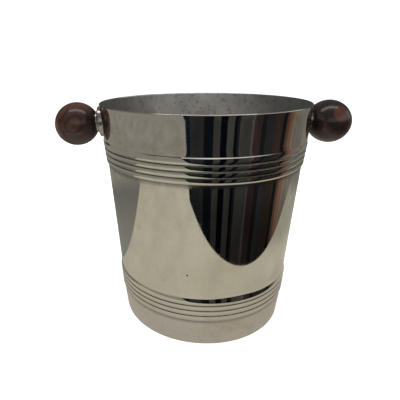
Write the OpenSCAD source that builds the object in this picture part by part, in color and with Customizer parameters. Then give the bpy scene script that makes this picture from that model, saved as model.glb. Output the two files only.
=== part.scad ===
// Champagne bucket: a tapering silver-plated bucket with two reeded bands, carried by a pair of
// turned wooden balls. Each ball sits on a flanged silver collar, and one screw from inside the
// bucket draws ball, collar and wall together. The handles stand square to the flaring wall, so
// that the balls droop slightly.
// Millimetres, Z up. The origin is the centre of the base, and the handles lie along X.

/* [Bucket] */
// Outside diameter at the rim
rim_d = 192.4; // [188:0.2:197]
// Height from the table to the rim
height = 203.4; // [196:0.2:215]
// Outside diameter where the skirt meets the table
foot_d = 154.4; // [148:0.2:156]
// Thickness of the sheet at the rim
sheet_t = 1.5; // [1.2:0.1:1.8]

/* [Reeded bands] */
// Height of the middle groove of the upper band
upper_band_z = 160.8; // [156:0.1:163]
// Height of the middle groove of the lower band
lower_band_z = 36.2; // [32:0.1:44]
// Distance from groove to groove
bead_w = 5.1; // [4.6:0.1:5.4]
// How far a bead bulges between its grooves
bead_bulge = 0.28; // [0.1:0.02:0.36]
// Width of the narrow cut between two beads
groove_w = 0.6; // [0.4:0.1:0.8]
// Depth of that cut below the edges of the beads
groove_depth = 0.25; // [0.1:0.05:0.3]

/* [Base] */
// Thickness of the base dish
base_t = 1.2; // [1:0.1:1.6]
// Height of the upturned flange that is soldered inside the skirt
base_flange_h = 7; // [6:1:16]
// How far the middle of the base is pushed up clear of the table
base_rise = 2; // [1:0.5:4]
// Width of the flat ring that the bucket stands on
base_ring_w = 13; // [8:1:20]

/* [Handles] */
// Height of the middle of a ball
ball_z = 183.5; // [181:0.1:185]
// Distance from the bucket's axis to the middle of a ball
ball_x = 118.2; // [118:0.1:120]
// Length of a ball along the handle axis
ball_length = 41; // [39:0.5:41]
// Diameter of a ball across the handle axis
ball_d = 40; // [37:0.5:41]
// Diameter of a collar's flange
collar_d = 28; // [25:0.5:29]
// How far the flange stands out from the wall
collar_t = 3; // [2:0.1:3.4]
// Diameter of the raised lip that cups the ball
lip_d = 19.4; // [17:0.2:21]
// How far the lip stands out from the wall
lip_out = 5.4; // [4.6:0.1:5.8]

/* [Fixings] */
// Diameter of the handle screw
screw_d = 5; // [4:0.5:5]
// Length of the screw under its head
screw_length = 18; // [16:1:22]
// Diameter of the screw's head
screw_head_d = 9.4; // [8:0.2:10]
// Diameter of the washer under the head
washer_d = 14; // [12:0.5:16]
// Length of the brass insert in a ball
insert_length = 14; // [10:1:16]

/* [Hidden] */
$fn = 96;
silver = [0.80, 0.78, 0.73];
rosewood = [0.26, 0.13, 0.10];
brass = [0.74, 0.60, 0.32];
steel = [0.62, 0.62, 0.62];

// Outside of the bucket. Each band has four beads, the top one the widest.
rim_r = rim_d / 2;
foot_r = foot_d / 2;
foot_round = 1.2;
band_edges = [-2.05 * bead_w, -bead_w, 0, bead_w, 2.27 * bead_w];
upper_lo_z = upper_band_z + band_edges[0];
upper_hi_z = upper_band_z + band_edges[4];
lower_lo_z = lower_band_z + band_edges[0];
lower_hi_z = lower_band_z + band_edges[4];
// Radii of the plain surfaces where they meet the bands
wall_above_upper_r = rim_r - 2.8;
cone_top_r = rim_r - 5.95;
cone_foot_r = foot_r + 4.25;
skirt_top_r = foot_r + 3.2;
// Radii along the crests of the beads, at the lower and upper edge of each band
upper_crest = [rim_r - 4.75, rim_r - 2.05];
lower_crest = [foot_r + 3.8, foot_r + 5.6];
// The top bead of a band is fullest low down, at this share of its height, and falls away above
// that to the plain wall. The larger the power, the later it falls.
top_bead_full_at = 0.35;
upper_fall_power = 2;
lower_fall_power = 1.3;
round_steps = 8;
bead_steps = 10;

// Inside of the bucket: plain lines that stay behind the deepest groove
inside_line = [
    [foot_r - sheet_t - 0.1, 0],
    [skirt_top_r - sheet_t, lower_lo_z],
    [cone_foot_r - sheet_t, lower_hi_z],
    [cone_top_r - sheet_t, upper_lo_z],
    [rim_r - sheet_t - 3.5, upper_band_z + bead_w],
    [wall_above_upper_r - sheet_t, upper_hi_z],
    [rim_r - sheet_t, height - sheet_t / 2],
];
base_corner_r = 3;
base_slope_w = 3;

// The handle axis stands square to the wall between the upper band and the rim
plain_wall_z = upper_hi_z + 0.5;
rim_edge_z = height - sheet_t / 2;
wall_slope = (rim_r - wall_above_upper_r) / (rim_edge_z - plain_wall_z);
handle_tilt = atan(wall_slope);
ball_out = (ball_x - rim_r + (rim_edge_z - ball_z) * wall_slope) * cos(handle_tilt);

// Ball, collar and fixings, by their distance out from the wall along the handle axis
ball_start = ball_out - ball_length / 2;
ball_flat = ball_start + 0.65;
ball_steps = 36;
collar_r = collar_d / 2;
collar_root = -1.7;
flange_round = 1.1;
lip_r = lip_d / 2;
lip_round = 0.5;
cove_r = 1.2;
hole_d = screw_d + 0.4;
insert_d = screw_d + 3.6;
insert_rib_w = insert_length / 5;
insert_rib_depth = 0.35;
washer_t = 1;
screw_seat = -sheet_t - washer_t - 0.2;
screw_head_h = 2.8;
slot_w = 1.2;
slot_depth = 1.3;

function mix(a, b, u) = a + (b - a) * u;

// Points of one bead from z0 up to z1. Its crest follows the line from r0 to r1. It is fullest
// at the share full_at of its height, and falls away by drop0 below that and by drop1 above it.
function bead(z0, z1, r0, r1, drop0, drop1, full_at = 0.5, fall_power = 2) = [
    for (i = [0:bead_steps])
        let (
            u = i / bead_steps,
            below = max(0, (full_at - u) / full_at),
            above = max(0, (u - full_at) / (1 - full_at))
        )
        [mix(r0, r1, u) - drop0 * pow(below, 2) - drop1 * pow(above, fall_power), mix(z0, z1, u)]
];

// Points of a whole band: four beads with a narrow cut between each two. crest holds the crest
// radii at the band's two edges, and wall the radii of the plain surfaces below and above it.
function band(z_mid, crest, wall, top_fall_power) =
    let (
        z_lo = z_mid + band_edges[0],
        z_hi = z_mid + band_edges[4],
        fall_lo = max(bead_bulge, crest[0] - wall[0]),
        fall_hi = max(bead_bulge, crest[1] - wall[1])
    )
    [for (k = [0:3])
        let (
            top = k == 3,
            cut_lo = k == 0 ? 0 : groove_w / 2,
            cut_hi = top ? 0 : groove_w / 2,
            za = z_mid + band_edges[k] + cut_lo,
            zb = z_mid + band_edges[k + 1] - cut_hi,
            ra = mix(crest[0], crest[1], (za - z_lo) / (z_hi - z_lo)),
            rb = mix(crest[0], crest[1], (zb - z_lo) / (z_hi - z_lo)),
            points = bead(za, zb, ra, rb, k == 0 ? fall_lo : bead_bulge, top ? fall_hi : bead_bulge,
                          top ? top_bead_full_at : 0.5, top ? top_fall_power : 2),
            floor_of_cut = [[rb - bead_bulge - groove_depth, zb + cut_hi]]
        )
        for (p = concat(points, top ? [] : floor_of_cut)) p];

// Quarter of a circle from angle a0 to a1 about a centre
function arc(centre, r, a0, a1) = [
    for (i = [0:round_steps])
        let (a = mix(a0, a1, i / round_steps))
        centre + r * [cos(a), sin(a)]
];

outside_line = concat(
    arc([foot_r - foot_round, foot_round], foot_round, -90, 0),
    band(lower_band_z, lower_crest, [skirt_top_r, cone_foot_r], lower_fall_power),
    band(upper_band_z, upper_crest, [cone_top_r, wall_above_upper_r], upper_fall_power),
    [[wall_above_upper_r, plain_wall_z]]
);

// Inside radius of the wall at height z, over the skirt
function skirt_inside_r(z) =
    mix(inside_line[0][0], inside_line[1][0], z / inside_line[1][1]);

// Half outline of a ball, from its start by the wall to its far end
ball_outline = [
    for (i = [0:ball_steps])
        let (a = 180 * i / ball_steps)
        [ball_d / 2 * sin(a), ball_out - ball_length / 2 * cos(a)]
];

// Puts a piece that stands up from the origin on the right-hand handle axis
module on_handle_axis() {
    translate([ball_x, 0, ball_z])
        rotate([0, 90 + handle_tilt, 0])
            translate([0, 0, -ball_out])
                children();
}

// Turns a half outline of [radius, distance out from the wall] about the handle axis
module turned_handle_piece(outline) {
    on_handle_axis()
        rotate_extrude()
            polygon(outline);
}

// Round bar along the handle axis, between two distances out from the wall
module handle_bar(d, from, to) {
    on_handle_axis()
        translate([0, 0, from])
            cylinder(d = d, h = to - from);
}

// Everything inside the bucket's outer surface
module bucket_mass() {
    rotate_extrude($fn = 360)
        polygon(concat([[0, 0]], outside_line, [[rim_r, height], [0, height]]));
}

// The hollow of the bucket
module bucket_hollow() {
    rotate_extrude($fn = 360)
        polygon(concat([[0, 0]], inside_line, [[rim_r - sheet_t, height + 1], [0, height + 1]]));
}

// The other handle is the same piece turned half way round the bucket
module left() {
    rotate([0, 0, 180])
        children();
}

module bucket_wall() {
    rim_edge = arc([rim_r - sheet_t / 2, rim_edge_z], sheet_t / 2, 0, 180);
    inside_down = [for (i = [len(inside_line) - 2:-1:0]) inside_line[i]];
    color(silver)
        difference() {
            rotate_extrude()
                polygon(concat(outside_line, rim_edge, inside_down));
            screw_hole();
            left() screw_hole();
        }
}

// Hole in the wall for the right-hand screw
module screw_hole() {
    handle_bar(hole_d, -sheet_t - 4, 4);
}

module bucket_base() {
    outer_r = skirt_inside_r(0);
    ring_r = outer_r - base_ring_w;
    inner_r = skirt_inside_r(base_flange_h) - base_t;
    corner = [skirt_inside_r(base_t + base_corner_r) - base_t - base_corner_r, base_t + base_corner_r];
    color(silver)
        rotate_extrude()
            polygon(concat(
                [[0, base_rise], [ring_r - base_slope_w, base_rise], [ring_r, 0]],
                [[outer_r - base_t, 0], [skirt_inside_r(base_t), base_t]],
                [[skirt_inside_r(base_flange_h), base_flange_h], [inner_r, base_flange_h]],
                arc(corner, base_corner_r, 0, -90),
                [[ring_r, base_t], [ring_r - base_slope_w, base_rise + base_t], [0, base_rise + base_t]]
            ));
}

module ball() {
    color(rosewood)
        difference() {
            turned_handle_piece(ball_outline);
            handle_bar(ball_d, ball_start - 1, ball_flat);
            handle_bar(insert_d, ball_flat - 1, ball_flat + insert_length);
        }
}

module collar() {
    flange_edge = arc([collar_r - flange_round, collar_t - flange_round], flange_round, 0, 90);
    cove = arc([lip_r + cove_r, collar_t + cove_r], cove_r, 270, 180);
    lip = arc([lip_r - lip_round, lip_out - lip_round], lip_round, 0, 90);
    color(silver)
        difference() {
            turned_handle_piece(concat(
                [[0, collar_root], [collar_r, collar_root]],
                flange_edge,
                cove,
                lip,
                [[0, lip_out]]
            ));
            bucket_mass();
            turned_handle_piece(ball_outline);
            handle_bar(hole_d, collar_root - 1, lip_out + 1);
        }
}

module washer() {
    color(steel)
        intersection() {
            difference() {
                handle_bar(washer_d, screw_seat, 1);
                handle_bar(hole_d, screw_seat - 1, 2);
            }
            bucket_hollow();
        }
}

module screw() {
    head_edge_h = 1;
    head_r = screw_head_d / 2;
    shank_r = screw_d / 2;
    tip_chamfer = 0.8;
    tip = screw_seat + screw_length;
    dome = [
        for (i = [0:round_steps])
            let (a = 90 * i / round_steps)
            [head_r * sin(a), screw_seat - head_edge_h - (screw_head_h - head_edge_h) * cos(a)]
    ];
    color(steel)
        difference() {
            turned_handle_piece(concat(
                dome,
                [[head_r, screw_seat], [shank_r, screw_seat]],
                [[shank_r, tip - tip_chamfer], [shank_r - tip_chamfer, tip], [0, tip]]
            ));
            on_handle_axis()
                translate([-head_r - 1, -slot_w / 2, screw_seat - screw_head_h - 1])
                    cube([screw_head_d + 2, slot_w, slot_depth + 1]);
        }
}

module insert() {
    rib_r = insert_d / 2;
    root_r = rib_r - insert_rib_depth;
    color(brass)
        difference() {
            union() {
                handle_bar(2 * root_r, ball_flat, ball_flat + insert_length);
                for (k = [0:2:4])
                    handle_bar(2 * rib_r, ball_flat + k * insert_rib_w, ball_flat + (k + 1) * insert_rib_w);
            }
            handle_bar(screw_d, ball_flat - 1, ball_flat + insert_length + 1);
        }
}

module collar_right() { collar(); }
module collar_left() { left() collar(); }
module ball_right() { ball(); }
module ball_left() { left() ball(); }
module screw_right() { screw(); }
module screw_left() { left() screw(); }
module washer_right() { washer(); }
module washer_left() { left() washer(); }
module insert_right() { insert(); }
module insert_left() { left() insert(); }

bucket_wall();
bucket_base();
collar_left();
collar_right();
ball_left();
ball_right();
screw_left();
screw_right();
washer_left();
washer_right();
insert_left();
insert_right();
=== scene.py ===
"""Champagne bucket in worn silver plate with rosewood ball handles, on a pale studio floor."""
import math
from bisect import bisect_right

import bmesh
import bpy
from mathutils import Matrix, Vector


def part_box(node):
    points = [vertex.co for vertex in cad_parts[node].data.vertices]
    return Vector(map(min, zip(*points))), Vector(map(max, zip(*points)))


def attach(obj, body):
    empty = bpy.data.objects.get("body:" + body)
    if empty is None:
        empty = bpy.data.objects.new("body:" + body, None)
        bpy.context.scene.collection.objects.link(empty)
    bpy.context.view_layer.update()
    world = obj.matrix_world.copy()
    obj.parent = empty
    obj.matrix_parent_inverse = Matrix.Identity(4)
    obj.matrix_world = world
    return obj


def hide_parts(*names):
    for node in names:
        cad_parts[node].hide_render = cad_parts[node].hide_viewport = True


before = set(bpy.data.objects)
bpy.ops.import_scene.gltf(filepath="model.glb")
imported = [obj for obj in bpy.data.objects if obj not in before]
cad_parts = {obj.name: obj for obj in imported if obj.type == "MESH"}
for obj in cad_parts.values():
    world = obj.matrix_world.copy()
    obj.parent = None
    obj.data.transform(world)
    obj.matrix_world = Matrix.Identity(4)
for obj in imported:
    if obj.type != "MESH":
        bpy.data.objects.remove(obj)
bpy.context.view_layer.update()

MM = 0.001
TAU = 2 * math.pi

# ---------------------------------------------------------------- dimensions, in millimetres
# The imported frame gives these.
wall_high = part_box("bucket_wall")[1] / MM
base_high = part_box("bucket_base")[1] / MM
RIM_R = min(wall_high.x, wall_high.y)
HEIGHT = wall_high.z
FLANGE_H = base_high.z

# The rest repeat the CAD source, except that a ball is 0.02 mm smaller all round. That keeps it
# inside the CAD model's box.
FOOT_R = 77.2
SHEET_T = 1.5
FOOT_ROUND = 1.2
BEAD_W = 5.1
BEAD_BULGE = 0.28
BEAD_FULL_AT = 0.5
BEAD_FALL_POWER = 2
GROOVE_W = 0.6
GROOVE_DEPTH = 0.25
UPPER_BAND_Z = 160.8
LOWER_BAND_Z = 36.2
BAND_EDGES = [-2.05 * BEAD_W, -BEAD_W, 0, BEAD_W, 2.27 * BEAD_W]
BALL_X = 118.2
BALL_Z = 183.5
BALL_LENGTH = 40.96
BALL_R = 19.98
COLLAR_R = 14
COLLAR_T = 3
FLANGE_ROUND = 1.1
LIP_R = 9.7
LIP_OUT = 5.4
LIP_ROUND = 0.5
COVE_R = 1.2
HOLE_R = 2.7
BORE_R = 4.3
BORE_LENGTH = 14
BALL_FLAT_DEPTH = 0.65
BASE_T = 1.2
BASE_RISE = 2
BASE_RING_W = 13
BASE_SLOPE_W = 3
BASE_CORNER_R = 3

UPPER_LO_Z, UPPER_HI_Z = UPPER_BAND_Z + BAND_EDGES[0], UPPER_BAND_Z + BAND_EDGES[4]
LOWER_LO_Z, LOWER_HI_Z = LOWER_BAND_Z + BAND_EDGES[0], LOWER_BAND_Z + BAND_EDGES[4]
WALL_ABOVE_UPPER_R = RIM_R - 2.8
CONE_TOP_R = RIM_R - 5.95
CONE_FOOT_R = FOOT_R + 4.25
SKIRT_TOP_R = FOOT_R + 3.2
FOOT_INSIDE_R = FOOT_R - SHEET_T - 0.1
UPPER_BAND_INSIDE_R = RIM_R - SHEET_T - 3.5
UPPER_CREST = (RIM_R - 4.75, RIM_R - 2.05)
LOWER_CREST = (FOOT_R + 3.8, FOOT_R + 5.6)
TOP_BEAD_FULL_AT = 0.35
UPPER_FALL_POWER = 2
LOWER_FALL_POWER = 1.3
PLAIN_WALL_Z = UPPER_HI_Z + 0.5
RIM_EDGE_Z = HEIGHT - SHEET_T / 2
WALL_SLOPE = (RIM_R - WALL_ABOVE_UPPER_R) / (RIM_EDGE_Z - PLAIN_WALL_Z)
# The handles stand square to the flaring wall. BALL_OUT is the ball's distance from the wall.
HANDLE_TILT = math.atan(WALL_SLOPE)
BALL_OUT = (BALL_X - RIM_R + (RIM_EDGE_Z - BALL_Z) * WALL_SLOPE) * math.cos(HANDLE_TILT)
BALL_FLAT = BALL_OUT - BALL_LENGTH / 2 + BALL_FLAT_DEPTH
INSIDE_LINE = [
    (FOOT_INSIDE_R, 0),
    (SKIRT_TOP_R - SHEET_T, LOWER_LO_Z),
    (CONE_FOOT_R - SHEET_T, LOWER_HI_Z),
    (CONE_TOP_R - SHEET_T, UPPER_LO_Z),
    (UPPER_BAND_INSIDE_R, UPPER_BAND_Z + BEAD_W),
    (WALL_ABOVE_UPPER_R - SHEET_T, UPPER_HI_Z),
    (RIM_R - SHEET_T, RIM_EDGE_Z),
]

# How fine the meshes are: points round a ring, and the longest straight run along an outline.
BUCKET_STEPS = 384
HANDLE_STEPS = 128
BALL_STEPS = 64
RIM_STEPS = 12
BEAD_STEPS = 16
OUTSIDE_RUN, INSIDE_RUN, BASE_RUN = 4, 5, 6
# How far from a corner its rounding starts.
INSIDE_BEND = 2.5
BASE_BEND = 0.6
LARGEST_BEND = 0.45  # of the run beside the corner, so that two bends on it don't meet
# The screw hole's cutter, as distances out from the wall.
HOLE_FROM, HOLE_TO = -6, 4
# Rings on the collar's two faces, and the gap it leaves to the ball.
COLLAR_BACK_RADII = (HOLE_R, 6, 10, COLLAR_R)
COLLAR_SEAT_RADII = (9.0, 8.4, 7.8, 6.5, 5, HOLE_R)
SEAT_GAP = 0.01
# Where the wall counts as outside, for tarnish, and as inside, for its second material.
OUTSIDE_DEPTH = 0.9
INSIDE_DEPTH = 0.3
INSIDE_FROM_Z = 0.1
INSIDE_TO_Z = HEIGHT - 0.7
# Tarnish in the cuts between beads, and less of it along each band's lower edge.
CUT_TARNISH_W = 1.8 * GROOVE_W
EDGE_TARNISH_W = 1.3 * GROOVE_W
EDGE_TARNISH = 0.6


# ---------------------------------------------------------------- outlines
def mix(a, b, u):
    return a + (b - a) * u


def arc(centre, r, a0, a1, steps=8):
    """Points on a circle from a0 to a1 degrees."""
    angles = [math.radians(mix(a0, a1, i / steps)) for i in range(steps + 1)]
    return [(centre[0] + r * math.cos(a), centre[1] + r * math.sin(a)) for a in angles]


def soften(points, cut, steps=5):
    """Rounds every corner of an open line, starting at most cut away from the corner."""
    out = [points[0]]
    for before, corner, after in zip(points, points[1:], points[2:]):
        b, c, a = Vector(before), Vector(corner), Vector(after)
        start = c + (b - c).normalized() * min(cut, (b - c).length * LARGEST_BEND)
        end = c + (a - c).normalized() * min(cut, (a - c).length * LARGEST_BEND)
        for i in range(steps + 1):
            u = i / steps
            out.append(tuple(start.lerp(c, u).lerp(c.lerp(end, u), u)))
    return out + [points[-1]]


def divide(points, longest):
    """Adds points on the straight runs so that none is longer than longest."""
    out = [points[0]]
    for p, q in zip(points, points[1:]):
        n = max(1, math.ceil((Vector(q) - Vector(p)).length / longest))
        out += [(mix(p[0], q[0], i / n), mix(p[1], q[1], i / n)) for i in range(1, n + 1)]
    return out


def band(z_mid, crest, wall, top_fall_power):
    """Four beads with a narrow cut between each two, as in the CAD source."""
    z_lo, z_hi = z_mid + BAND_EDGES[0], z_mid + BAND_EDGES[4]
    fall_lo = max(BEAD_BULGE, crest[0] - wall[0])
    fall_hi = max(BEAD_BULGE, crest[1] - wall[1])
    points = []
    for k in range(4):
        top = k == 3
        za = z_mid + BAND_EDGES[k] + (GROOVE_W / 2 if k > 0 else 0)
        zb = z_mid + BAND_EDGES[k + 1] - (0 if top else GROOVE_W / 2)
        ra = mix(*crest, (za - z_lo) / (z_hi - z_lo))
        rb = mix(*crest, (zb - z_lo) / (z_hi - z_lo))
        drop_lo = fall_lo if k == 0 else BEAD_BULGE
        drop_hi, full_at, power = BEAD_BULGE, BEAD_FULL_AT, BEAD_FALL_POWER
        if top:
            drop_hi, full_at, power = fall_hi, TOP_BEAD_FULL_AT, top_fall_power
        for i in range(BEAD_STEPS + 1):
            u = i / BEAD_STEPS
            below = max(0, (full_at - u) / full_at)
            above = max(0, (u - full_at) / (1 - full_at))
            r = mix(ra, rb, u) - drop_lo * below ** BEAD_FALL_POWER - drop_hi * above ** power
            points.append((r, mix(za, zb, u)))
        if not top:
            points.append((rb - BEAD_BULGE - GROOVE_DEPTH, zb + GROOVE_W / 2))
    return points


OUTSIDE_LINE = (
    arc((FOOT_R - FOOT_ROUND, FOOT_ROUND), FOOT_ROUND, -90, 0)
    + band(LOWER_BAND_Z, LOWER_CREST, (SKIRT_TOP_R, CONE_FOOT_R), LOWER_FALL_POWER)
    + band(UPPER_BAND_Z, UPPER_CREST, (CONE_TOP_R, WALL_ABOVE_UPPER_R), UPPER_FALL_POWER)
    + [(WALL_ABOVE_UPPER_R, PLAIN_WALL_Z)]
)


def radius_at(line, z):
    """Radius of a rising line of (radius, z) at height z."""
    heights = [p[1] for p in line]
    i = min(max(bisect_right(heights, z), 1), len(line) - 1)
    (r0, z0), (r1, z1) = line[i - 1], line[i]
    return mix(r0, r1, (z - z0) / (z1 - z0))


# ---------------------------------------------------------------- meshes
def bucket_ring(r, z):
    """Points round the bucket's axis."""
    if r == 0:
        return [Vector((0, 0, z))]
    angles = [TAU * i / BUCKET_STEPS for i in range(BUCKET_STEPS)]
    return [Vector((r * math.cos(a), r * math.sin(a), z)) for a in angles]


def on_handle(across, up, out):
    """Point by its place across and up from the right-hand handle axis and out from the wall."""
    c, s = math.cos(HANDLE_TILT), math.sin(HANDLE_TILT)
    along = out - BALL_OUT
    return Vector((BALL_X + along * c + up * s, across, BALL_Z - along * s + up * c))


def handle_ring(r, out):
    """Points round the right-hand handle axis. out may be a function of the point's place."""
    if r == 0:
        return [on_handle(0, 0, out)]
    ring = []
    for i in range(HANDLE_STEPS):
        a = TAU * i / HANDLE_STEPS
        across, up = r * math.sin(a), r * math.cos(a)
        ring.append(on_handle(across, up, out(across, up) if callable(out) else out))
    return ring


def skin(name, rings, closed=False, left=False):
    """Object whose surface joins each ring of points to the next, turned half way round if left."""
    turn = Matrix.Rotation(math.pi if left else 0, 4, "Z") @ Matrix.Scale(MM, 4)
    bm = bmesh.new()
    rows = [[bm.verts.new(turn @ p) for p in ring] for ring in rings]
    pairs = list(zip(rows, rows[1:])) + ([(rows[-1], rows[0])] if closed else [])
    for lower, upper in pairs:
        n = max(len(lower), len(upper))
        for i in range(n):
            j = (i + 1) % n
            corners = [lower[i % len(lower)], lower[j % len(lower)],
                       upper[j % len(upper)], upper[i % len(upper)]]
            bm.faces.new(list(dict.fromkeys(corners)))
    bmesh.ops.recalc_face_normals(bm, faces=bm.faces)
    mesh = bpy.data.meshes.new(name)
    bm.to_mesh(mesh)
    bm.free()
    obj = bpy.data.objects.new(name, mesh)
    bpy.context.scene.collection.objects.link(obj)
    return obj


def shade(obj, sharp_from=34):
    """Smooth shading that keeps edges of sharp_from degrees or more."""
    obj.data.shade_smooth()
    obj.data.set_sharp_from_angle(angle=math.radians(sharp_from))


def cut_away(obj, cutter):
    """Takes cutter's volume out of obj."""
    modifier = obj.modifiers.new("cut", "BOOLEAN")
    modifier.operation = "DIFFERENCE"
    modifier.solver = "EXACT"
    modifier.object = cutter
    graph = bpy.context.evaluated_depsgraph_get()
    cut = bpy.data.meshes.new_from_object(obj.evaluated_get(graph))
    obj.modifiers.clear()
    obj.data = cut
    bpy.data.objects.remove(cutter)


def tarnished():
    """Height, half width and strength of each line of tarnish on the bands."""
    for z_mid in (LOWER_BAND_Z, UPPER_BAND_Z):
        for edge in BAND_EDGES[1:4]:
            yield z_mid + edge, CUT_TARNISH_W, 1.0
        yield z_mid + BAND_EDGES[0], EDGE_TARNISH_W, EDGE_TARNISH


def make_wall():
    rim_edge = arc((RIM_R - SHEET_T / 2, RIM_EDGE_Z), SHEET_T / 2, 0, 180, steps=RIM_STEPS)
    inside = soften(INSIDE_LINE, INSIDE_BEND)[::-1]
    outline = divide(OUTSIDE_LINE + rim_edge[:1], OUTSIDE_RUN) + rim_edge[1:-1]
    outline += divide(inside, INSIDE_RUN)
    obj = skin("bucket_shell", [bucket_ring(r, z) for r, z in outline], closed=True)
    hole_line = [(0, HOLE_FROM), (HOLE_R, HOLE_FROM), (HOLE_R, HOLE_TO), (0, HOLE_TO)]
    hole = [handle_ring(r, out) for r, out in hole_line]
    for left in (False, True):
        cut_away(obj, skin("hole", hole, left=left))
    shade(obj)
    mesh = obj.data
    recess = mesh.attributes.new("recess", "FLOAT", "POINT")
    for v in mesh.vertices:
        z, r = v.co.z / MM, math.hypot(v.co.x, v.co.y) / MM
        outside = r > radius_at(OUTSIDE_LINE, min(z, UPPER_HI_Z)) - OUTSIDE_DEPTH
        depth = [strength * max(0, 1 - abs(z - at) / width) for at, width, strength in tarnished()]
        recess.data[v.index].value = max(depth) if outside else 0
    return obj


def paint_inside(mesh):
    """Gives the inside of the wall its second material."""
    inside_rising = INSIDE_LINE[:-1] + [(RIM_R - SHEET_T, HEIGHT)]
    for face in mesh.polygons:
        z, r = face.center.z / MM, math.hypot(face.center.x, face.center.y) / MM
        inside = r < radius_at(inside_rising, z) + INSIDE_DEPTH
        face.material_index = int(INSIDE_FROM_Z < z < INSIDE_TO_Z and inside)


def make_base():
    outer_r = radius_at(INSIDE_LINE, 0)
    ring_r = outer_r - BASE_RING_W
    flange_r = radius_at(INSIDE_LINE, FLANGE_H)
    corner_z = BASE_T + BASE_CORNER_R
    corner = (radius_at(INSIDE_LINE, corner_z) - BASE_T - BASE_CORNER_R, corner_z)
    under = [(0, BASE_RISE), (ring_r - BASE_SLOPE_W, BASE_RISE), (ring_r, 0),
             (outer_r - BASE_T, 0), (radius_at(INSIDE_LINE, BASE_T), BASE_T), (flange_r, FLANGE_H)]
    over = [(flange_r - BASE_T, FLANGE_H), *arc(corner, BASE_CORNER_R, 0, -90),
            (ring_r, BASE_T), (ring_r - BASE_SLOPE_W, BASE_RISE + BASE_T), (0, BASE_RISE + BASE_T)]
    outline = divide(soften(under, BASE_BEND) + soften(over, BASE_BEND), BASE_RUN)
    obj = skin("base_dish", [bucket_ring(r if r > 1e-6 else 0, z) for r, z in outline])
    shade(obj)
    return obj


def on_wall(across, up):
    """How far out along the handle axis the wall's outer surface is, closed in on in six steps."""
    line = OUTSIDE_LINE + [(RIM_R, HEIGHT)]
    out = 0
    for _ in range(6):
        p = on_handle(across, up, out)
        out += (math.sqrt(radius_at(line, p.z) ** 2 - across ** 2) - p.x) * math.cos(HANDLE_TILT)
    return out


def ball_surface(r):
    """Distance out from the wall of the near side of the ball, at radius r."""
    return BALL_OUT - BALL_LENGTH / 2 * math.sqrt(1 - (r / BALL_R) ** 2)


def make_collar(name, left):
    rings = [handle_ring(r, on_wall) for r in COLLAR_BACK_RADII]
    flange_edge = arc((COLLAR_R - FLANGE_ROUND, COLLAR_T - FLANGE_ROUND), FLANGE_ROUND, 0, 90)
    cove = arc((LIP_R + COVE_R, COLLAR_T + COVE_R), COVE_R, 270, 180)
    lip = arc((LIP_R - LIP_ROUND, LIP_OUT - LIP_ROUND), LIP_ROUND, 0, 90)
    seat = [(r, min(LIP_OUT, ball_surface(r) - SEAT_GAP)) for r in COLLAR_SEAT_RADII]
    rings += [handle_ring(r, out) for r, out in flange_edge + cove + lip + seat]
    obj = skin(name, rings, closed=True, left=left)
    shade(obj)
    return obj


def make_ball(name, left):
    flat_r = BALL_R * math.sqrt(1 - ((BALL_OUT - BALL_FLAT) / (BALL_LENGTH / 2)) ** 2)
    a0 = math.asin(flat_r / BALL_R)
    bore_end = BALL_FLAT + BORE_LENGTH
    shape = [(0, bore_end), (BORE_R, bore_end), (BORE_R, BALL_FLAT)]
    for i in range(BALL_STEPS):
        a = mix(a0, math.pi, i / BALL_STEPS)
        shape.append((BALL_R * math.sin(a), BALL_OUT - BALL_LENGTH / 2 * math.cos(a)))
    shape.append((0, BALL_OUT + BALL_LENGTH / 2))
    obj = skin(name, [handle_ring(r, out) for r, out in shape], left=left)
    shade(obj)
    return obj


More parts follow.
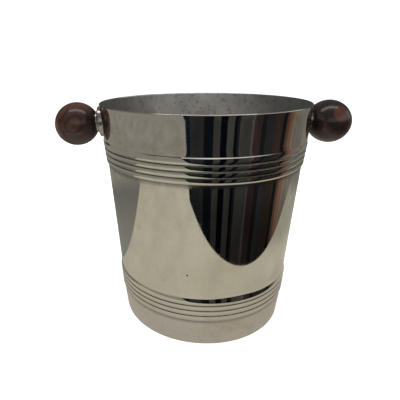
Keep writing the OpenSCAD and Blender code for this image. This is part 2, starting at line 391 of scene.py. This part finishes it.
# ---------------------------------------------------------------- materials
class Nodes:
    """Builds a material's node tree. Its calls return output sockets, or the finished material."""

    def __init__(self, name):
        self.material = bpy.data.materials.new(name)
        self.material.use_nodes = True
        self.tree = self.material.node_tree
        self.tree.nodes.clear()
        where = self.add("ShaderNodeTexCoord", {}).outputs["Object"]
        self.mm = self.add("ShaderNodeVectorMath", {0: where, 1: (1 / MM,) * 3},
                           operation="MULTIPLY").outputs[0]
        split = self.add("ShaderNodeSeparateXYZ", {0: self.mm})
        self.x, self.y, self.z = split.outputs

    def add(self, kind, inputs, **settings):
        node = self.tree.nodes.new(kind)
        for key, value in settings.items():
            setattr(node, key, value)
        for key, value in inputs.items():
            if isinstance(value, bpy.types.NodeSocket):
                self.tree.links.new(value, node.inputs[key])
            else:
                node.inputs[key].default_value = value
        return node

    def math(self, operation, a, b=0.0):
        return self.add("ShaderNodeMath", {0: a, 1: b}, operation=operation).outputs[0]

    def plus(self, a, b):
        return self.math("ADD", a, b)

    def times(self, a, b):
        return self.math("MULTIPLY", a, b)

    def length(self, a, b):
        return self.math("SQRT", self.plus(self.times(a, a), self.times(b, b)))

    def vector(self, x, y, z):
        return self.add("ShaderNodeCombineXYZ", {0: x, 1: y, 2: z}).outputs[0]

    def noise(self, vector, scale, detail=2.0, roughness=0.5, distortion=0.0):
        """Noise from 0 to 1. scale is in cycles to one unit of vector, most often a millimetre."""
        inputs = {"Vector": vector, "Scale": scale, "Detail": detail,
                  "Roughness": roughness, "Distortion": distortion}
        return self.add("ShaderNodeTexNoise", inputs).outputs[0]

    def dots(self, scale, size):
        """1 in dots and 0 between them. scale is in cells per millimetre, and size is in cells."""
        cells = self.add("ShaderNodeTexVoronoi", {"Vector": self.mm, "Scale": scale}, feature="F1")
        return self.math("LESS_THAN", cells.outputs["Distance"], size)

    def between(self, value, low, high, to_low=0.0, to_high=1.0):
        """Maps low..high to to_low..to_high with soft ends, and holds the ends."""
        inputs = {0: value, 1: low, 2: high, 3: to_low, 4: to_high}
        return self.add("ShaderNodeMapRange", inputs, interpolation_type="SMOOTHSTEP").outputs[0]

    def blend(self, amount, a, b):
        """Colour a at 0, colour b at 1."""
        a, b = ((*v, 1) if isinstance(v, tuple) else v for v in (a, b))
        return self.add("ShaderNodeMix", {0: amount, 6: a, 7: b}, data_type="RGBA").outputs[2]

    def ramp(self, value, stops, interpolation="LINEAR"):
        """Colour ramp through (position, colour) stops."""
        node = self.add("ShaderNodeValToRGB", {0: value})
        node.color_ramp.interpolation = interpolation
        elements = node.color_ramp.elements
        while len(elements) < len(stops):
            elements.new(1.0)
        # A moved element may change places with another, so the colours wait for the positions.
        for element, stop in zip(elements, stops):
            element.position = stop[0]
        for element, stop in zip(elements, stops):
            element.color = (*stop[1], 1)
        return node.outputs[0]

    def bump(self, height, distance_mm, normal=None):
        inputs = {"Height": height, "Distance": distance_mm * MM, "Strength": 1.0}
        if normal is not None:
            inputs["Normal"] = normal
        return self.add("ShaderNodeBump", inputs).outputs[0]

    def principled(self, **inputs):
        inputs = {key.replace("_", " "): value for key, value in inputs.items()}
        node = self.add("ShaderNodeBsdfPrincipled", inputs)
        self.add("ShaderNodeOutputMaterial", {0: node.outputs[0]})
        return self.material

    def glow(self, colour, strength=1.0):
        colour = (*colour, 1) if isinstance(colour, tuple) else colour
        node = self.add("ShaderNodeEmission", {0: colour, 1: strength})
        self.add("ShaderNodeOutputMaterial", {0: node.outputs[0]})
        return self.material


SILVER = (0.88, 0.86, 0.81)
CLOUDED_SILVER = (0.80, 0.77, 0.69)
DULL_SILVER = (0.70, 0.66, 0.58)
TARNISH = (0.055, 0.047, 0.042)
STAIN = (0.68, 0.60, 0.45)
SPECK = (0.16, 0.13, 0.10)
PIT = (0.03, 0.025, 0.02)
WORN = (0.47, 0.465, 0.435)
WORN_DARKER = (0.30, 0.297, 0.275)
WORN_SPOT = (0.17, 0.166, 0.15)
WORN_STREAK = (0.55, 0.545, 0.51)
# Painted shade for the plate's sides, towards the handles.
PLATE_PAINTED_SHADE = (0.10, 0.10, 0.098)
COLLAR = (0.62, 0.60, 0.57)
COLLAR_TARNISH = (0.30, 0.28, 0.25)
WOOD_STREAK = (0.018, 0.008, 0.007)
WOOD_PORE = (0.012, 0.006, 0.005)
# Painted shade on the balls, beside the collars and underneath.
WOOD_PAINTED_SHADE = (0.006, 0.004, 0.004)
STEEL, STEEL_GRIME = (0.62, 0.61, 0.59), (0.20, 0.17, 0.14)
BRASS, BRASS_GRIME = (0.78, 0.60, 0.30), (0.25, 0.16, 0.07)

# Rosewood from the middle of its growth rings outwards, as parts of ZONES_REACH millimetres.
ZONES_REACH = 30.0
LEFT_ZONES = [
    (0.0, (0.040, 0.015, 0.011)), (0.20, (0.046, 0.017, 0.012)), (0.28, (0.012, 0.006, 0.005)),
    (0.36, (0.042, 0.016, 0.011)), (0.46, (0.014, 0.006, 0.005)), (0.55, (0.075, 0.027, 0.013)),
    (0.75, (0.055, 0.020, 0.011)),
]
# On the right ball the zones are partly grain and partly painted light and shade: its near-black
# band is painted shade, and its reddish middle and outer zones are painted light.
RIGHT_ZONES_LIT_AND_SHADED = [
    (0.0, (0.060, 0.018, 0.011)), (0.20, (0.062, 0.018, 0.011)), (0.26, (0.011, 0.006, 0.007)),
    (0.42, (0.007, 0.005, 0.006)), (0.50, (0.014, 0.006, 0.006)), (0.60, (0.034, 0.013, 0.010)),
    (0.80, (0.024, 0.010, 0.008)),
]
# The middle of the growth rings, as its distance right of and above the ball's middle.
LEFT_RINGS = (1.2, 0.5)
# On the right ball this also places its painted shade and painted light.
RIGHT_RINGS = (2.2, 7.3)
GRAIN_TILT = 0.12


def polished_plate(name):
    """Polished silver plate: clouds, stains, pits, specks near the foot and dark cuts."""
    n = Nodes(name)
    angle = n.math("ARCTAN2", n.y, n.x)
    round_the_wall = n.vector(n.times(angle, 4.0), n.times(n.length(n.x, n.y), 0.3), n.z)
    clouds = n.noise(n.mm, 0.022, detail=5, roughness=0.6, distortion=0.4)
    smears = n.noise(round_the_wall, 0.16, detail=4, roughness=0.65)
    mottle = n.noise(n.mm, 0.35, detail=4, roughness=0.6)
    patches = n.noise(n.mm, 0.035, detail=4, roughness=0.6, distortion=0.5)
    recess = n.add("ShaderNodeAttribute", {}, attribute_name="recess").outputs["Fac"]
    tarnish = n.times(recess, n.between(mottle, 0.2, 0.6, 0.75, 1.0))
    near_foot = n.between(n.z, 22, 32, 0.16, 0.0)
    speck_size = n.times(near_foot, n.noise(n.mm, 0.08, detail=2))
    pit_size = n.between(n.noise(n.mm, 0.05), 0.40, 0.7, 0.0, 0.07)
    colour = n.blend(n.between(clouds, 0.35, 0.75), SILVER, CLOUDED_SILVER)
    colour = n.blend(n.between(mottle, 0.45, 0.8, 0.0, 0.35), colour, DULL_SILVER)
    colour = n.blend(tarnish, colour, TARNISH)
    colour = n.blend(n.between(patches, 0.55, 0.72, 0.0, 0.45), colour, STAIN)
    colour = n.blend(n.dots(0.25, speck_size), colour, SPECK)
    colour = n.blend(n.dots(0.085, pit_size), colour, PIT)
    roughness = n.plus(n.between(smears, 0.35, 0.8, 0.03, 0.075), n.times(tarnish, 0.35))
    roughness = n.plus(roughness, n.between(clouds, 0.5, 0.8, 0.0, 0.025))
    scratch_map = n.vector(n.times(angle, 1.5), 0.0, n.z)
    scratches = n.noise(scratch_map, 2.2, detail=3, roughness=0.7)
    waves = n.bump(n.noise(n.mm, 0.03, detail=1), 0.03)
    normal = n.bump(n.between(scratches, 0.3, 0.7), 0.0007, waves)
    return n.principled(Base_Color=colour, Metallic=1.0, Roughness=roughness, Normal=normal)


def worn_plate(name):
    """Unpolished, oxidised plate inside the bucket and under it, with painted shade darkening it
    towards the handles.
    """
    n = Nodes(name)
    clouds = n.noise(n.mm, 0.03, detail=6, roughness=0.65, distortion=0.6)
    spots = n.noise(n.mm, 0.16, detail=5, roughness=0.7)
    streaks = n.noise(n.vector(n.x, n.y, n.times(n.z, 0.15)), 0.12, detail=4, roughness=0.6)
    # Painted shade: the plate darkens from the middle towards the sides.
    side_shade = n.between(n.math("ABSOLUTE", n.x), 30, 92, 0.0, 0.8)
    colour = n.blend(n.between(clouds, 0.3, 0.75), WORN, WORN_DARKER)
    colour = n.blend(n.between(spots, 0.5, 0.68, 0.0, 0.8), colour, WORN_SPOT)
    colour = n.blend(n.between(streaks, 0.5, 0.8, 0.0, 0.35), colour, WORN_STREAK)
    colour = n.blend(side_shade, colour, PLATE_PAINTED_SHADE)
    roughness = n.between(spots, 0.3, 0.7, 0.5, 0.66)
    normal = n.bump(n.noise(n.mm, 0.9, detail=4, roughness=0.7), 0.02)
    return n.principled(Base_Color=colour, Metallic=0.6, Roughness=roughness, Normal=normal)


def collar_plate(name):
    """Silver plate on the collars, mottled with tarnish over fine turning lines."""
    n = Nodes(name)
    mottle = n.noise(n.mm, 0.5, detail=4, roughness=0.6)
    turned = n.noise(n.vector(n.times(n.x, 6.0), 0.0, 0.0), 1.0, detail=3)
    colour = n.blend(n.between(mottle, 0.4, 0.75), COLLAR, COLLAR_TARNISH)
    roughness = n.between(mottle, 0.3, 0.7, 0.18, 0.34)
    normal = n.bump(turned, 0.004)
    return n.principled(Base_Color=colour, Metallic=1.0, Roughness=roughness, Normal=normal)


def rosewood(name, rings_x, rings_z, zones):
    """Varnished rosewood, with painted shade beside the collar and below. Its growth rings lie
    round a line close to the Y direction, through (rings_x, rings_z)."""
    n = Nodes(name)
    x = n.math("SUBTRACT", n.x, rings_x)
    z = n.math("SUBTRACT", n.plus(n.z, n.times(n.y, GRAIN_TILT)), rings_z)
    wobble = n.between(n.noise(n.mm, 0.05, detail=2), 0.2, 0.8, -2.2, 2.2)
    fine_wobble = n.between(n.noise(n.mm, 0.3, detail=3), 0.2, 0.8, -0.4, 0.4)
    ring = n.plus(n.plus(n.length(x, z), wobble), fine_wobble)
    streaks = n.noise(n.vector(ring, n.times(n.y, 0.06), 0.0), 1.1, detail=4, roughness=0.65)
    pores_map = n.vector(n.times(n.x, 3.2), n.times(n.y, 0.5), n.times(n.z, 3.2))
    pores = n.noise(pores_map, 1.0, detail=2, roughness=0.5)
    # Painted shade: the wood goes near black on its side towards the wall and on its underside.
    shade_beside_collar = n.between(n.math("ABSOLUTE", n.x), 101, 109, 0.85, 0.0)
    shade_below = n.between(n.z, 166, 178, 0.85, 0.0)
    colour = n.ramp(n.math("DIVIDE", ring, ZONES_REACH), zones)
    colour = n.blend(n.between(streaks, 0.42, 0.72, 0.0, 0.8), colour, WOOD_STREAK)
    colour = n.blend(n.between(pores, 0.62, 0.72, 0.0, 0.6), colour, WOOD_PORE)
    colour = n.blend(n.math("MAXIMUM", shade_beside_collar, shade_below), colour, WOOD_PAINTED_SHADE)
    roughness = n.between(streaks, 0.3, 0.7, 0.30, 0.42)
    normal = n.bump(n.between(pores, 0.6, 0.75), 0.01)
    return n.principled(Base_Color=colour, Roughness=roughness, Normal=normal,
                        Specular_IOR_Level=0.25,
                        Coat_Weight=0.75, Coat_Roughness=0.12, Coat_IOR=1.5)


def machined(name, metal, grime_colour):
    """Small machined parts: fine turning lines and dark grime."""
    n = Nodes(name)
    lines = n.noise(n.vector(n.times(n.x, 4.0), n.y, n.z), 1.0, detail=3)
    grime = n.noise(n.mm, 0.6, detail=4, roughness=0.6)
    colour = n.blend(n.between(grime, 0.45, 0.75, 0.0, 0.8), metal, grime_colour)
    roughness = n.between(grime, 0.3, 0.7, 0.25, 0.45)
    normal = n.bump(lines, 0.008)
    return n.principled(Base_Color=colour, Metallic=1.0, Roughness=roughness, Normal=normal)


# ---------------------------------------------------------------- the object
def place(obj, slot, materials, *nodes):
    """Puts a new piece in the place of CAD nodes."""
    for material in materials:
        obj.data.materials.append(material)
    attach(obj, "root")
    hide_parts(*nodes)


plate_out = polished_plate("silver_plate")
plate_in = worn_plate("silver_plate_inside")
wall = make_wall()
place(wall, "silver_plate", [plate_out, plate_in], "bucket_wall")
paint_inside(wall.data)
place(make_base(), "silver_plate_base", [plate_in], "bucket_base")

collar_finish = collar_plate("collar_silver")
for side, left, zones, rings in (("left", True, LEFT_ZONES, LEFT_RINGS),
                                 ("right", False, RIGHT_ZONES_LIT_AND_SHADED, RIGHT_RINGS)):
    ball_x = -BALL_X if left else BALL_X
    place(make_collar("collar_" + side + "_turned", left), "collar_silver", [collar_finish],
          "collar_" + side)
    wood = rosewood("rosewood_" + side, ball_x + rings[0], BALL_Z + rings[1], zones)
    place(make_ball("ball_" + side + "_turned", left), "rosewood", [wood], "ball_" + side)

steel = machined("screw_steel", STEEL, STEEL_GRIME)
brass = machined("insert_brass", BRASS, BRASS_GRIME)
for name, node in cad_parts.items():
    if name.startswith(("screw", "washer", "insert")):
        node.data.materials.clear()
        node.data.materials.append(brass if name.startswith("insert") else steel)


# ---------------------------------------------------------------- camera
# Angles in degrees, place in metres.
CAMERA_YAW, CAMERA_PITCH, CAMERA_ROLL = 0.89, 15.72, -0.5
CAMERA_AT = (-0.0382, -0.3596, 0.2392)
CAMERA_LENS = 34.6
CAMERA_SHIFT = 0.0767


def make_camera():
    """At the photo's viewing angle: left of the middle, a little above the rim, looking down."""
    yaw, pitch, roll = (math.radians(a) for a in (CAMERA_YAW, CAMERA_PITCH, CAMERA_ROLL))
    ahead = Vector((math.sin(yaw), math.cos(yaw), 0))
    right = Vector((math.cos(yaw), -math.sin(yaw), 0))
    up = Vector((0, 0, 1))
    look = ahead * math.cos(pitch) - up * math.sin(pitch)
    top = up * math.cos(pitch) + ahead * math.sin(pitch)
    side = right * math.cos(roll) + top * math.sin(roll)
    top = top * math.cos(roll) - right * math.sin(roll)
    data = bpy.data.cameras.new("camera")
    data.sensor_width = 36
    data.lens = CAMERA_LENS
    data.shift_x = CAMERA_SHIFT
    data.shift_y = -CAMERA_SHIFT
    data.clip_start = 0.01
    data.clip_end = 100
    camera = bpy.data.objects.new("camera", data)
    bpy.context.scene.collection.objects.link(camera)
    turn = Matrix((side, top, -look)).transposed()
    camera.matrix_world = Matrix.Translation(Vector(CAMERA_AT)) @ turn.to_4x4()
    bpy.context.scene.camera = camera


make_camera()


# ---------------------------------------------------------------- studio, in metres
RAYS = ("camera", "diffuse", "glossy", "transmission", "shadow")
FLOOR_REACH = 6
ROOM_R = 6
BACKDROP_LOW, BACKDROP_HIGH = -0.5, 6
ROOM_LOW, ROOM_HIGH = -9, 3
BACKDROP_STEPS = 48
ROOM_STEPS = 96
WHITE = (1.0, 1.0, 1.0)


def stage_mesh(name, points, faces, material, seen_by):
    """Part of the studio, seen only by the kinds of ray named in seen_by."""
    mesh = bpy.data.meshes.new(name)
    mesh.from_pydata(points, [], faces)
    mesh.materials.append(material)
    obj = bpy.data.objects.new(name, mesh)
    bpy.context.scene.collection.objects.link(obj)
    for kind in RAYS:
        setattr(obj, "visible_" + kind, kind in seen_by)


def mirrored(name, points, faces, material):
    """Part of what the silver mirrors. It lights nothing."""
    material.cycles.emission_sampling = "NONE"
    stage_mesh(name, points, faces, material, ("glossy",))


def toward(azimuth, distance, z=0.0):
    """Point at a distance from the origin. Azimuth 0 is -Y, and 90 is +X."""
    a = math.radians(azimuth)
    return Vector((distance * math.sin(a), -distance * math.cos(a), z))


def drum(r, z_lo, z_hi, steps):
    """Low ring and high ring of points of an upright drum, and the faces of its wall."""
    low = [tuple(toward(360 * i / steps, r, z_lo)) for i in range(steps)]
    high = [(x, y, z_hi) for x, y, z in low]
    faces = [(i, (i + 1) % steps, steps + (i + 1) % steps, steps + i) for i in range(steps)]
    return low, high, faces


def make_floor():
    n = Nodes("pale_floor")
    drift = n.between(n.noise(n.mm, 0.004, detail=2), 0.3, 0.7)
    tone = n.blend(drift, (0.80, 0.80, 0.80), (0.82, 0.82, 0.81))
    material = n.principled(Base_Color=tone, Roughness=0.9, Specular_IOR_Level=0.0,
                            Emission_Color=(*WHITE, 1), Emission_Strength=0.62)
    signs = ((-1, -1), (1, -1), (1, 1), (-1, 1))
    corners = [(x * FLOOR_REACH, y * FLOOR_REACH, 0) for x, y in signs]
    stage_mesh("floor", corners, [(0, 1, 2, 3)], material, ("camera", "diffuse", "shadow"))


def make_backdrop():
    """White all round, for the camera alone."""
    low, high, faces = drum(ROOM_R, BACKDROP_LOW, BACKDROP_HIGH, BACKDROP_STEPS)
    faces.append(tuple(range(BACKDROP_STEPS, 2 * BACKDROP_STEPS)))
    stage_mesh("backdrop", low + high, faces, Nodes("white").glow(WHITE, 1.05), ("camera",))


# What the silver mirrors: a cream table top whose front edge passes by the bucket, and beyond it
# a dim room with upright stripes. The edge runs from its corner to the right at EDGE_AZIMUTH, and
# from its bend to the left at LEFT_EDGE_AZIMUTH.
EDGE_CORNER = Vector((-0.105, -0.31, 0))
EDGE_AZIMUTH = 128.5
EDGE_BEND = Vector((-0.253, -0.500, 0))
LEFT_EDGE_AZIMUTH = -27
TABLE_REACH = 5
TABLE_AZIMUTHS = (EDGE_AZIMUTH, 160, 200, 240, 280)
# The part behind the bucket is greyer. It starts at this distance along this direction.
REAR_DIRECTION = (-0.543, 0.84)
REAR_STARTS = (0.119, 0.123)
REAR_ENDS_X = 0.06
CREAM, CREAM_STAINED = (0.475, 0.452, 0.362), (0.41, 0.392, 0.318)
CREAM_IN_SHADE = (0.385, 0.355, 0.305)
TABLE_GREY, TABLE_GREY_STAINED = (0.265, 0.25, 0.218), (0.215, 0.203, 0.18)
REAR_NEAR, REAR_FAR = (0.215, 0.213, 0.196), (0.12, 0.119, 0.112)
TABLE_RIGHT = (0.12, 0.11, 0.095)


def make_mirrored_table():
    n = Nodes("mirrored_table")
    x, y = (n.times(v, MM) for v in (n.x, n.y))
    behind = n.plus(n.times(x, REAR_DIRECTION[0]), n.times(y, REAR_DIRECTION[1]))
    reach = n.length(x, y)
    stains = n.noise(n.mm, 0.012, detail=3)
    cream = n.blend(n.between(stains, 0.35, 0.7), CREAM, CREAM_STAINED)
    cream = n.blend(n.between(reach, 0.08, 0.16), CREAM_IN_SHADE, cream)
    grey = n.blend(n.between(stains, 0.3, 0.7), TABLE_GREY, TABLE_GREY_STAINED)
    rear = n.blend(n.between(reach, 0.15, 0.45), REAR_NEAR, REAR_FAR)
    in_rear = n.times(n.between(behind, *REAR_STARTS), n.math("LESS_THAN", x, REAR_ENDS_X))
    colour = n.blend(in_rear, cream, rear)
    colour = n.blend(n.between(reach, 0.34, 0.44), colour, grey)
    colour = n.blend(n.between(x, 0.15, 0.24, 0.0, 0.42), colour, TABLE_RIGHT)
    points = [EDGE_CORNER] + [EDGE_CORNER + toward(a, TABLE_REACH) for a in TABLE_AZIMUTHS]
    points += [EDGE_BEND + toward(LEFT_EDGE_AZIMUTH, TABLE_REACH), EDGE_BEND]
    faces = [(0, i, i + 1) for i in range(1, len(points) - 1)]
    mirrored("mirrored_table", [tuple(p) for p in points], faces, n.glow(colour))


# Tones of the room by azimuth in degrees. The walls beside and behind change smoothly.
ROOM_WALLS = [
    (-180, (0.10, 0.095, 0.085)), (-120, (0.12, 0.113, 0.10)), (-105, (0.19, 0.18, 0.16)),
    (-70, (0.26, 0.245, 0.215)), (-28, (0.22, 0.208, 0.185)), (97, (0.12, 0.105, 0.09)),
    (112, (0.17, 0.155, 0.135)), (125, (0.12, 0.112, 0.10)), (180, (0.10, 0.095, 0.085)),
]
# In front stand dark furniture and curtains, each from its azimuth to the next one's.
INK = (0.004, 0.007, 0.014)
DARK_SLATE = (0.004, 0.0055, 0.0085)
BLACK = (0.0015, 0.002, 0.004)
SOOT = (0.009, 0.009, 0.011)
CHARCOAL = (0.019, 0.020, 0.022)
GREY = (0.040, 0.040, 0.038)
PALE_GREY = (0.07, 0.067, 0.066)
WINE = (0.032, 0.020, 0.022)
UMBER = (0.032, 0.023, 0.019)
TAN = (0.08, 0.045, 0.032)
RUST = (0.14, 0.08, 0.056)
BEIGE = (0.16, 0.125, 0.10)
ROOM_FRONT = [
    (-28, INK), (-20, CHARCOAL), (-6, DARK_SLATE), (3, GREY), (10, BLACK), (18, GREY),
    (25, BLACK), (27, SOOT), (30, GREY), (43, PALE_GREY), (46, WINE), (54, SOOT),
    (60, CHARCOAL), (69, UMBER), (81, SOOT), (86, TAN), (91, RUST), (96, BEIGE),
]
FRONT_STARTS, FRONT_ENDS = math.radians(ROOM_FRONT[0][0]), math.radians(100)
# Higher up the room is bright in front and dim behind, from one azimuth to the other and from one
# height to the other, in millimetres. Far below the table it is darker.
HIGH_FADES = (math.radians(105), math.radians(125))
HIGH_STARTS = (350, 800)
HIGH_BEHIND, HIGH_IN_FRONT = (0.05, 0.05, 0.047), (0.60, 0.58, 0.54)
LOW_STARTS = (-3700, -2300)
ROOM_FLOOR = (0.012, 0.012, 0.012)
ROOM_CEILING = (0.16, 0.155, 0.145)


def make_mirrored_room():
    n = Nodes("mirrored_room")
    azimuth = n.math("ARCTAN2", n.x, n.times(n.y, -1.0))
    turn = n.plus(n.math("DIVIDE", azimuth, TAU), 0.5)
    walls = n.ramp(turn, [(a / 360 + 0.5, tone) for a, tone in ROOM_WALLS])
    front = n.ramp(turn, [(a / 360 + 0.5, tone) for a, tone in ROOM_FRONT], "CONSTANT")
    after_start = n.math("GREATER_THAN", azimuth, FRONT_STARTS)
    in_front = n.times(after_start, n.math("LESS_THAN", azimuth, FRONT_ENDS))
    facing = n.times(after_start, n.between(azimuth, *HIGH_FADES, 1.0, 0.0))
    above = n.blend(facing, HIGH_BEHIND, HIGH_IN_FRONT)
    colour = n.blend(n.between(n.z, *HIGH_STARTS), n.blend(in_front, walls, front), above)
    drift = n.between(n.noise(n.mm, 0.0006, detail=2), 0.3, 0.7, 0.75, 1.25)
    strength = n.times(drift, n.between(n.z, *LOW_STARTS, 0.42, 1.0))
    low, high, faces = drum(ROOM_R, ROOM_LOW, ROOM_HIGH, ROOM_STEPS)
    cap = [tuple(range(ROOM_STEPS))]
    mirrored("mirrored_room", low + high, faces, n.glow(colour, strength))
    mirrored("mirrored_room_floor", low, cap, Nodes("mirrored_room_floor").glow(ROOM_FLOOR))
    mirrored("mirrored_ceiling", high, cap, Nodes("mirrored_ceiling").glow(ROOM_CEILING))


def softbox(name, at, aim, size, power, colour=WHITE, glossy=False):
    """Rectangular light. Only a glossy one shows in the silver and the varnish."""
    data = bpy.data.lights.new(name, "AREA")
    data.shape = "RECTANGLE"
    data.size, data.size_y = size
    data.energy = power
    data.color = colour
    obj = bpy.data.objects.new(name, data)
    bpy.context.scene.collection.objects.link(obj)
    obj.location = at
    obj.rotation_euler = (Vector(aim) - Vector(at)).to_track_quat("-Z", "Y").to_euler()
    obj.visible_glossy = glossy
    obj.visible_camera = False


make_floor()
make_backdrop()
make_mirrored_table()
make_mirrored_room()
softbox("overhead", (0.05, -0.12, 1.5), (0, 0, 0.15), (1.3, 1.1), 9)
softbox("strip_light", (0.0, -0.12, 1.45), (0, 0, 0.15), (1.7, 0.35), 4.4, (1.0, 0.93, 0.90),
        glossy=True)
softbox("fill_left", (-1.4, -1.0, 1.2), (0, 0, 0.1), (1.2, 1.2), 12)
softbox("fill_right", (1.3, -1.1, 1.1), (0, 0, 0.1), (1.2, 1.2), 8)

WORLD_STRENGTH = 0.55
world = bpy.data.worlds.new("studio")
world.use_nodes = True
background = world.node_tree.nodes["Background"]
background.inputs[0].default_value = (*WHITE, 1)
background.inputs[1].default_value = WORLD_STRENGTH
bpy.context.scene.world = world
bpy.context.scene.view_settings.view_transform = "Standard"
bpy.context.scene.view_settings.look = "None"
